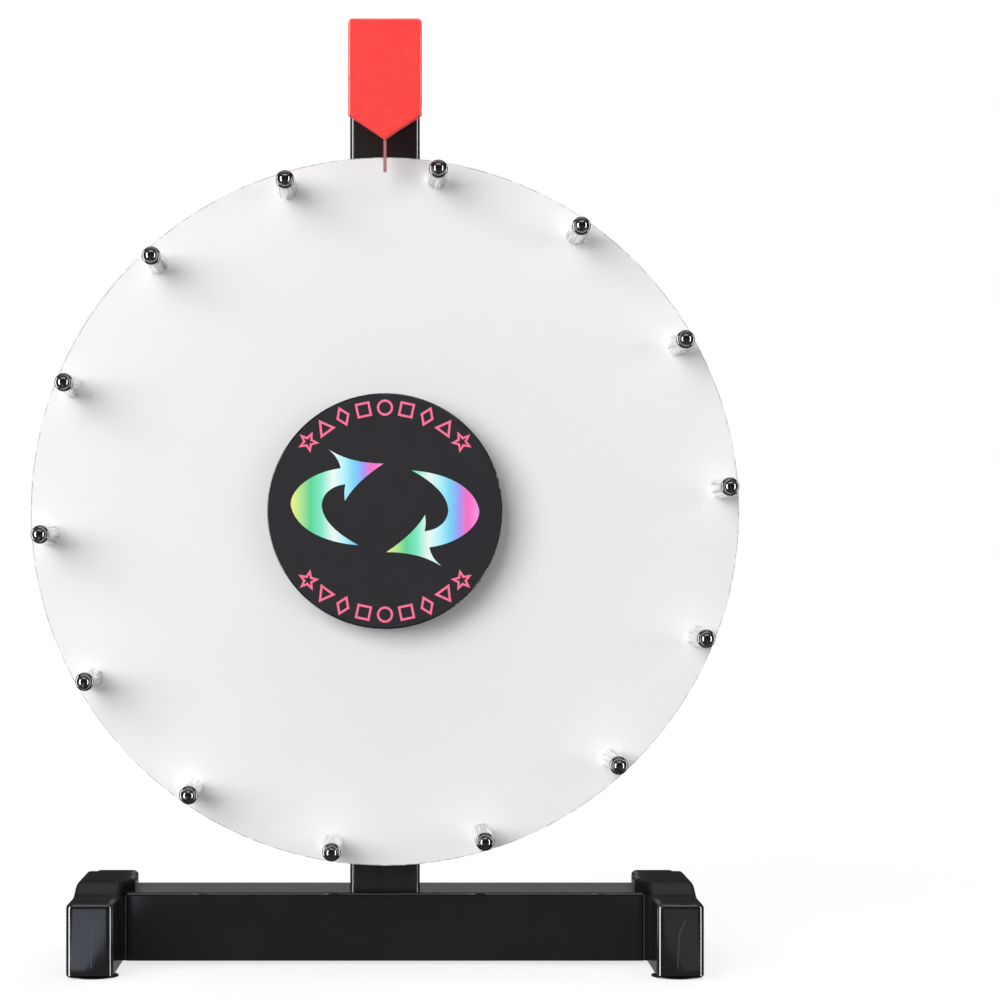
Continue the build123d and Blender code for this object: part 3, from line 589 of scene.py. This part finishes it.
def white_nylon():
    """Natural nylon, a little yellow and a little cloudy."""
    finish = Finish("white_nylon", IOR=1.53, Subsurface_Weight=0.2, Subsurface_Scale=0.002)
    cloud = finish.grain(2.0 * MM, detail=3.0)
    finish.feed("Base Color", finish.blend(cloud, (0.74, 0.72, 0.65, 1), (0.84, 0.83, 0.78, 1)))
    finish.feed("Roughness", 0.38 + 0.12 * cloud)
    finish.relief(cloud, 0.010 * MM)
    return finish


RINGED = {
    "bearing_steel": ((0.60, 0.61, 0.63, 1), (0.74, 0.75, 0.76, 1), 0.14),
    "cage_brass": ((0.62, 0.42, 0.16, 1), (0.78, 0.57, 0.26, 1), 0.22),
}
for name, look in RINGED.items():
    FINISHES[name] = ground_steel(name, *look)
FINISHES["white_nylon"] = white_nylon()
print("bearing and nylon ready")

# %% [markdown]
# ## The hub label
#
# The hub's cap carries a matt black vinyl label. Ink and foil lie on it. Matt vinyl has a very fine
# leather-like grain, so its highlights are broad and weak, and its black is lighter than a gloss black.

# %% Matt vinyl
def matt_vinyl():
    """Printed black vinyl."""
    finish = Finish("matt_vinyl", IOR=1.45, Specular_IOR_Level=0.15)
    grain = finish.grain(0.28 * MM, detail=3.0)
    cloud = finish.grain(14.0 * MM, detail=2.0)
    colour = finish.blend(cloud, (0.0185, 0.0178, 0.0215, 1), (0.0245, 0.0236, 0.0280, 1))
    finish.feed("Base Color", colour)
    finish.feed("Roughness", 0.52 + 0.14 * grain)
    finish.relief(grain, 0.012 * MM)
    return finish


FINISHES["label_black"] = matt_vinyl()
print("vinyl ready")

# %% [markdown]
# ## Dressing the CAD pieces
#
# The record lists a material slot for each node, so the finishes are handed out by slot in one loop. The
# base is the one piece with a finish of its own, because of its weld lines.

# %% Give each CAD node its finish
def dress(node, finish):
    """Puts a finish in every material slot of a CAD node's object."""
    piece = frame["nodes"][node]
    if not piece.material_slots:
        piece.data.materials.append(finish.material)
    for slot in piece.material_slots:
        slot.material = finish.material


for part in frame["record"]["subparts"]:
    dress(part["node"], FINISHES[part["material_slot"]])
dress("base_shell", FINISHES["base_moulding"])

# %% [markdown]
# ## Flat prints
#
# Ink and foil are thin films. They could be an image on the label, but a film made as its own mesh has
# crisp edges from any distance, and it catches light apart from the vinyl. One helper makes a thin plate
# from flat corners and faces, and another gives the corners and faces of a ribbon of even width round a
# path. Both draw in the plane of the label: across to the players' right, and up, from the axle.

# %% Plates and ribbons in the label's plane
INK_T = 0.05 * MM
FOIL_T = 0.08 * MM
SINK = 0.02 * MM  # how far a print reaches into the vinyl, so that no gap shows
SAME_POINT = 0.002 * MM
MITRE_LIMIT = 0.45


def as_piece(name, net):
    """An object in the scene from a finished net."""
    mesh = bpy.data.meshes.new(name)
    net.to_mesh(mesh)
    net.free()
    piece = bpy.data.objects.new(name, mesh)
    bpy.context.scene.collection.objects.link(piece)
    return piece


def thicken(net, offset):
    """Extrudes all faces and moves the new side by the offset. The sides are closed."""
    raised = bmesh.ops.extrude_face_region(net, geom=net.faces[:])
    moved = [item for item in raised["geom"] if isinstance(item, bmesh.types.BMVert)]
    bmesh.ops.translate(net, verts=moved, vec=offset)
    bmesh.ops.recalc_face_normals(net, faces=net.faces)


def print_mesh(name, corners, faces, thickness):
    """A thin film on the label, from flat corners and faces."""
    net = bmesh.new()
    front = [net.verts.new((x, LABEL_Y - thickness, AXLE_Z + z)) for x, z in corners]
    for face in faces:
        net.faces.new([front[k] for k in face])
    bmesh.ops.remove_doubles(net, verts=net.verts, dist=SAME_POINT)
    bmesh.ops.recalc_face_normals(net, faces=net.faces)
    for face in net.faces:
        if face.normal.y > 0:
            face.normal_flip()
    thicken(net, (0, thickness + SINK, 0))
    bmesh.ops.triangulate(net, faces=[face for face in net.faces if len(face.verts) > 4])
    return as_piece(name, net)


def left_of(start, end):
    """The unit direction to the left of the way from start to end."""
    way = (end - start).normalized()
    return Vector((-way.y, way.x))


def ribbon(path, width):
    """Corners and faces of an even stroke round a closed path, mitred where the path turns."""
    corners = []
    count = len(path)
    for k, here in enumerate(path):
        arriving = left_of(path[k - 1], here)
        leaving = left_of(here, path[(k + 1) % count])
        side = (arriving + leaving).normalized()
        reach = width / 2 / max(side.dot(leaving), MITRE_LIMIT)
        corners += [here + side * reach, here - side * reach]
    total = 2 * count
    faces = [[2 * k, 2 * k + 1, (2 * k + 3) % total, (2 * k + 2) % total] for k in range(count)]
    return corners, faces


print("prints are", FOIL_T / MM, "mm thick at most")

# %% [markdown]
# ## Printed marks round the label
#
# Two arcs of small line marks run round the label, one above and one below. They are plain playing
# symbols: ring, triangle, square, star and diamond. Each is a closed path of unit size, placed by angle,
# so the lower arc is the upper one turned by half a turn.

# %% The symbols as unit paths
RING_POINTS = 28
STAR_POINTS = 5
STAR_TIP = 1.08
STAR_WAIST = 0.46


def ring_path():
    """A circle as a polygon that looks round."""
    angles = [math.tau * k / RING_POINTS for k in range(RING_POINTS)]
    return [(math.cos(a), math.sin(a)) for a in angles]


def regular_path(sides, start_deg):
    """A regular polygon with its first corner at the start angle, from straight up."""
    angles = [math.radians(start_deg) + math.tau * k / sides for k in range(sides)]
    return [(math.sin(a), math.cos(a)) for a in angles]


def star_path():
    """A star whose tips and waists take turns, from straight up."""
    path = []
    for k in range(2 * STAR_POINTS):
        angle = math.pi * k / STAR_POINTS
        reach = STAR_WAIST if k % 2 else STAR_TIP
        path.append((reach * math.sin(angle), reach * math.cos(angle)))
    return path


SYMBOLS = {
    "ring": [(x * 0.86, y * 0.86) for x, y in ring_path()],
    "triangle": [(x * 1.05, y * 1.05 - 0.18) for x, y in regular_path(3, 0)],
    "square": [(x * 1.10, y * 1.10) for x, y in regular_path(4, 45)],
    "diamond": [(x * 0.72, y * 1.06) for x, y in regular_path(4, 0)],
    "star": star_path(),
}
print("symbols:", ", ".join(SYMBOLS))

# %% Place them round the label and ink them
MARK_ORDER = ["star", "triangle", "diamond", "square", "ring", "square", "diamond", "triangle", "star"]
MARK_STEP_DEG = 12.0
MARK_R = 44.0 * MM
MARK_HALF = 3.45 * MM
STROKE_W = 0.98 * MM


def pink_ink():
    """Coral pink screen ink."""
    finish = Finish("pink_ink", IOR=1.45, Specular_IOR_Level=0.35)
    film = finish.grain(0.5 * MM, detail=3.0)
    finish.feed("Base Color", finish.blend(film, (0.93, 0.150, 0.275, 1), (1.0, 0.200, 0.350, 1)))
    finish.feed("Roughness", 0.42 + 0.12 * film)
    finish.relief(film, 0.006 * MM)
    return finish


def arc_of_marks(name, centre_deg, finish):
    """All the marks in an arc, their feet towards the axle."""
    corners, faces = [], []
    middle_mark = (len(MARK_ORDER) - 1) / 2
    for k, symbol in enumerate(MARK_ORDER):
        turn = math.radians(centre_deg + (k - middle_mark) * MARK_STEP_DEG)
        out = Vector((math.sin(turn), math.cos(turn)))
        across = Vector((math.cos(turn), -math.sin(turn)))
        path = [out * (MARK_R + MARK_HALF * y) + across * (MARK_HALF * x) for x, y in SYMBOLS[symbol]]
        stroke, strips = ribbon(path, STROKE_W)
        first = len(corners)
        corners += stroke
        faces += [[first + corner for corner in strip] for strip in strips]
    piece = print_mesh(name, corners, faces, INK_T)
    piece.data.materials.append(finish.material)
    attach(piece, "wheel")
    return piece


ink = pink_ink()
for name, centre in (("pink_marks_upper", 0.0), ("pink_marks_lower", 180.0)):
    arc = arc_of_marks(name, centre, ink)
    print(name, len(arc.data.polygons), "faces")

# %% [markdown]
# ## Foil arrows
#
# Two curved arrows show which way to spin. Each is a pointed crescent that swells to the middle and ends
# in a swept head. Its outline is eight Bezier curves, joined end to end and measured in millimetres from
# the axle. The second arrow is the first, turned by half a turn about a point just above the axle. The
# foil is a rainbow film: its colour changes across each arrow, from yellow and green through a pale band
# to blue and pink, and fine parallel lines break it up as the pressed grating does.

# %% The arrow's outline
TAIL = (-11.3, -14.5)
FAR_SIDE = (-40.0, 2.0)
NECK_OUT = (-18.9, 18.2)
BARB_OUT = (-24.0, 26.2)
TIP = (-0.6, 20.2)
BARB_IN = (-17.0, 4.4)
NECK_IN = (-16.8, 11.4)
NEAR_SIDE = (-26.9, 3.0)
ARROW = [
    (TAIL, (-24.5, -13.6), (-37.5, -8.5), FAR_SIDE),
    (FAR_SIDE, (-41.0, 8.5), (-32.0, 16.6), NECK_OUT),
    (NECK_OUT, (-19.2, 20.6), (-20.6, 23.4), BARB_OUT),
    (BARB_OUT, (-16.5, 21.6), (-9.5, 20.4), TIP),
    (TIP, (-9.0, 14.6), (-14.0, 9.6), BARB_IN),
    (BARB_IN, (-17.4, 6.6), (-17.4, 9.0), NECK_IN),
    (NECK_IN, (-22.0, 10.9), (-26.4, 7.9), NEAR_SIDE),
    (NEAR_SIDE, (-27.2, -3.4), (-20.6, -9.6), TAIL),
]
CURVE_STEPS = 14
TURN_ABOVE = 1.4 * MM  # the point that the second arrow is turned about


def on_curve(curve, share):
    """A point of a cubic Bezier curve, in metres."""
    rest = 1 - share
    weights = (rest ** 3, 3 * rest ** 2 * share, 3 * rest * share ** 2, share ** 3)
    return sum((Vector(point) * weight for point, weight in zip(curve, weights)), Vector((0, 0))) * MM


outline = [on_curve(curve, k / CURVE_STEPS) for curve in ARROW for k in range(CURVE_STEPS)]
print("the arrow's outline has", len(outline), "points")


# %% The rainbow foil
def rainbow_foil(span, start):
    """Pressed foil whose colour runs across an arrow that starts at start and is span wide."""
    finish = Finish("rainbow_foil", IOR=1.5, Coat_Weight=0.3, Coat_Roughness=0.12)
    share = (finish.x - start) / span
    stops = [
        (0.00, (0.95, 0.92, 0.20, 1)),
        (0.08, (0.52, 0.85, 0.22, 1)),
        (0.21, (0.030, 0.68, 0.26, 1)),
        (0.33, (0.16, 0.84, 0.55, 1)),
        (0.46, (0.88, 1.00, 1.00, 1)),
        (0.56, (0.50, 0.95, 1.00, 1)),
        (0.68, (0.12, 0.68, 1.00, 1)),
        (0.78, (0.30, 0.30, 1.00, 1)),
        (0.87, (1.00, 0.09, 0.50, 1)),
        (1.00, (0.95, 0.26, 0.84, 1)),
    ]
    rainbow = finish.node("ShaderNodeValToRGB", {"stops": stops}, {"Fac": share}, "Color")
    grating = finish.grain(0.22 * MM, stretch=(60.0, 1.0, 1.0))
    sparkle = finish.grain(0.4 * MM, detail=3.0)
    finish.feed("Base Color", finish.blend(sparkle * 0.16, rainbow, grey(1.0)))
    finish.feed("Roughness", 0.24 + 0.16 * grating)
    finish.relief(grating, 0.003 * MM)
    return finish


def foil_arrow(name, turned):
    """One arrow, with its own rainbow."""
    corners = [Vector((-p.x, 2 * TURN_ABOVE - p.y)) if turned else p for p in outline]
    piece = print_mesh(name, corners, [list(range(len(corners)))], FOIL_T)
    low = min(point.x for point in corners)
    high = max(point.x for point in corners)
    piece.data.materials.append(rainbow_foil(high - low, low).material)
    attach(piece, "wheel")
    return piece


for name, turned in (("foil_arrow_left", False), ("foil_arrow_right", True)):
    arrow = foil_arrow(name, turned)
    print(name, len(arrow.data.polygons), "faces")

# %% [markdown]
# ## The flapper
#
# The flapper is a thin plastic strip on a pin. As a peg goes by, the strip bends below the pin and
# springs back. A rigid strip would show a gap or a kink where it leaves the housing, so this piece is
# rebuilt with many rows down its length. The strip is seen edge-on from the front, and from the side it
# is a tongue with a rounded nose and a hole.

# %% The strip's outline from the side
ROOT_ABOVE_PIN = 6.0 * MM
HOLE_R = 2.05 * MM
NOSE_R = 2.6 * MM
NOSE_RISE = 2.4 * MM
NOSE_STEPS = 6
TAPER = 17.0 * MM
ROW = 1.5 * MM
strip_y = (flapper_low.y + flapper_high.y) / 2
strip_half = (flapper_high.y - flapper_low.y) / 2
strip_t = flapper_high.x - flapper_low.x
pin_z = flapper_high.z - ROOT_ABOVE_PIN


def half_width(z):
    """Half the strip's width at a height: full above the taper, round at the nose."""
    above_tip = z - flapper_low.z
    if above_tip >= TAPER:
        return strip_half
    if above_tip <= NOSE_RISE:
        return NOSE_R * math.sqrt(max(1 - (1 - above_tip / NOSE_RISE) ** 2, 0.0))
    share = (above_tip - NOSE_RISE) / (TAPER - NOSE_RISE)
    return NOSE_R + (strip_half - NOSE_R) * math.sin(share * math.pi / 2)


def strip_outline():
    """Heights down the front edge, round the nose and up the back edge."""
    straight = flapper_high.z - flapper_low.z - NOSE_RISE
    rows = int(straight / ROW)
    heights = [flapper_high.z - straight * k / rows for k in range(rows + 1)]
    nose_angles = [math.pi / 2 * k / NOSE_STEPS for k in range(1, NOSE_STEPS)]
    nose = [flapper_low.z + NOSE_RISE * (1 - math.sin(a)) for a in nose_angles]
    down = [(-half_width(z), z) for z in heights + nose] + [(0.0, flapper_low.z)]
    up = [(-y, z) for y, z in reversed(down[:-1])]
    return down + up


print("strip", round(strip_half * 2 / MM, 1), "mm wide,", round(strip_t / MM, 1), "mm thick")


# %% Build the strip
HOLE_POINTS = 24
SOFT_EDGE = 0.12 * MM


def loop_of(net, points):
    """A closed loop of edges on the right-hand face of the strip."""
    verts = [net.verts.new((strip_t / 2, strip_y + y, z)) for y, z in points]
    return [net.edges.new((verts[k - 1], verts[k])) for k in range(len(verts))]


def flapper_strip():
    """The bending strip, with its pin hole and a softened edge."""
    angles = [math.tau * k / HOLE_POINTS for k in range(HOLE_POINTS)]
    hole = [(HOLE_R * math.cos(a), pin_z + HOLE_R * math.sin(a)) for a in angles]
    net = bmesh.new()
    edges = loop_of(net, strip_outline()) + loop_of(net, hole)
    bmesh.ops.triangle_fill(net, use_beauty=True, edges=edges)
    thicken(net, (-strip_t, 0, 0))
    piece = as_piece("flapper_strip", net)
    soften = piece.modifiers.new("softened edge", "BEVEL")
    soften.width = SOFT_EDGE
    soften.segments = 2
    soften.limit_method = "ANGLE"
    bpy.context.view_layer.update()
    softened = piece.evaluated_get(bpy.context.evaluated_depsgraph_get())
    piece.data = bpy.data.meshes.new_from_object(softened)
    piece.modifiers.clear()
    return piece


strip = flapper_strip()
strip.data.materials.append(FINISHES["red_strip"].material)
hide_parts("flapper_blade")
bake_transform(strip)
print("flapper strip", len(strip.data.polygons), "faces")

# %% [markdown]
# ## The floor
#
# The wheel stands on a plain pale sweep. A floor that simply reflects light would turn grey towards the
# back and draw a line behind the disc. This one adds a little light of its own for the camera only, so it
# runs into the white background while the base still drops a soft shadow on it. Reflections pass through
# it, so that the strips beside the wheel can reach below table height and line every upright edge in
# full.

# %% A pale floor
FLOOR_R = 5.0
FLOOR_SIDES = 96
FLOOR_ALBEDO = 0.28
GLOW_NEAR = 0.74  # what the floor adds under the wheel
GLOW_FAR = 1.0  # and far from it
NEAR_R = 0.5
FAR_R = 1.6


def pale_floor():
    """A large round floor at table height."""
    net = bmesh.new()
    bmesh.ops.create_circle(net, cap_ends=True, segments=FLOOR_SIDES, radius=FLOOR_R)
    floor = as_piece("pale_floor", net)
    paint = Finish("floor_paint", Specular_IOR_Level=0.0, Emission_Strength=1.0)
    paper = paint.grain(0.4, detail=3.0)
    paint.feed("Base Color", paint.blend(paper, grey(FLOOR_ALBEDO), grey(FLOOR_ALBEDO + 0.02)))
    paint.feed("Roughness", 0.9 + 0.05 * paper)
    seen = paint.node("ShaderNodeLightPath", output="Is Camera Ray")
    away = paint.node("ShaderNodeVectorMath", {"operation": "LENGTH"}, {0: paint.place}, output="Value")
    glow = paint.blend(paint.between(away, NEAR_R, FAR_R), grey(GLOW_NEAR), grey(GLOW_FAR))
    paint.feed("Emission Color", paint.blend(seen, grey(0.0), glow))
    floor.data.materials.append(paint.material)
    floor.visible_glossy = False
    return floor


floor = pale_floor()
print("floor", round(floor.dimensions.x, 1), "m across")

# %% [markdown]
# ## The studio
#
# A white disc is shaped by shadow alone, and a glossy black base by what it mirrors, so the two need
# different lights. A large key, high on the left, lights the disc and throws the hub's soft shadow to the
# lower right. It is hidden from reflections, and so black stays black. The strips are the opposite: only
# reflections see them. A tall one on each side draws the thin bright line along every rounded upright
# edge. They stand well to the side, because the black sides would mirror them as white sheets to someone
# behind the wheel. One overhead draws level edges, two low cards give the legs' fronts their grey, and
# one card far behind does that for the top of the crossbar.

# %% Lights for shading and strips for reflections
HEART = (0.0, WRITING_Y, AXLE_Z)
WHITE = (1.0, 1.0, 1.0)


def softbox(name, place, aim, size, watts, purpose="shading", colour=WHITE):
    """A rectangular light that faces a point, for shading only or for reflections only."""
    data = bpy.data.lights.new(name, "AREA")
    data.shape = "RECTANGLE"
    data.size, data.size_y = size
    data.energy = watts
    data.color = colour
    light = bpy.data.objects.new(name, data)
    light.location = place
    light.rotation_euler = (Vector(aim) - Vector(place)).to_track_quat("-Z", "Y").to_euler()
    light.visible_glossy = purpose == "reflections"
    light.visible_diffuse = purpose == "shading"
    bpy.context.scene.collection.objects.link(light)
    return light


def strip_light(name, place, aim, size, radiance, colour=WHITE):
    """A strip for reflections only, as bright as radiance wherever it is mirrored."""
    watts = radiance * math.pi * size[0] * size[1]
    return softbox(name, place, aim, size, watts, "reflections", colour)


lights = [
    softbox("key", (-1.62, -2.60, 1.10), HEART, (2.6, 2.0), 92.0),
    softbox("fill", (1.7, -2.4, 0.25), HEART, (2.0, 1.6), 20.0),
    softbox("overhead", (0.0, 0.3, 2.3), (0.0, 0.0, 0.2), (2.6, 2.0), 30.0),
    softbox("rear", (0.9, 2.1, 1.3), HEART, (1.2, 1.0), 14.0),
]
print(len(lights), "lights for shading,", sum(light.data.energy for light in lights), "W")

# %% Strips and cards
CARD_X = 0.155
CARD_Y = -0.21
CARD_Z = 0.001
CARD_SIZE = (0.056, 0.25)
CARDS = (("left_card", -CARD_X, 1.9, (0.74, 0.86, 1.0)), ("right_card", CARD_X, 0.45, (0.9, 0.95, 1.0)))

strips = [
    strip_light("left_strip", (-1.66, -0.82, 0.20), HEART, (0.62, 2.2), 26.0),
    strip_light("right_strip", (1.66, -0.70, 0.20), HEART, (0.34, 2.2), 26.0),
    strip_light("top_strip", (0.0, -0.75, 1.7), HEART, (1.6, 0.34), 7.0),
]
for name, x, radiance, tint in CARDS:
    straight_up = (x, CARD_Y, 1.0)
    strips.append(strip_light(name, (x, CARD_Y, CARD_Z), straight_up, CARD_SIZE, radiance, tint))
strips.append(strip_light("back_card", (0.0, 2.0, 0.33), (0.0, 0.0, 0.10), (0.56, 0.26), 0.17))
print(len(strips), "strips and cards for reflections")


# %% The room
ROOM_LIGHT = 0.035
LIGHT_ABOVE = 0.30
LIGHT_BELOW = 0.17


def make_room():
    """White to the camera. Dark to the object, a little paler overhead and below."""
    world = bpy.data.worlds.new("room")
    bpy.context.scene.world = world
    world.use_nodes = True
    world.node_tree.nodes.clear()
    room = Book(world.node_tree)
    direction = room.node("ShaderNodeTexCoord", output="Generated")
    z = room.node("ShaderNodeSeparateXYZ", None, {"Vector": direction}, "Z")
    above = room.between(z, 0.25, 0.95)
    below = room.between(z * -1, 0.02, 0.10)
    light = ROOM_LIGHT + LIGHT_ABOVE * above + LIGHT_BELOW * below
    seen = room.node("ShaderNodeLightPath", output="Is Camera Ray")
    glow = room.node("ShaderNodeBackground", None, {"Color": (0.97, 0.985, 1.0, 1), "Strength": light})
    white = room.node("ShaderNodeBackground", None, {"Color": grey(1.0), "Strength": 1.0})
    mixed = room.node("ShaderNodeMixShader", None, {0: seen, 1: glow, 2: white})
    end = room.tree.nodes.new("ShaderNodeOutputWorld")
    room.plug(mixed, end.inputs["Surface"])
    return world


make_room()
bpy.context.scene.view_settings.view_transform = "Standard"
print("the room is white to the camera and dark to the object")
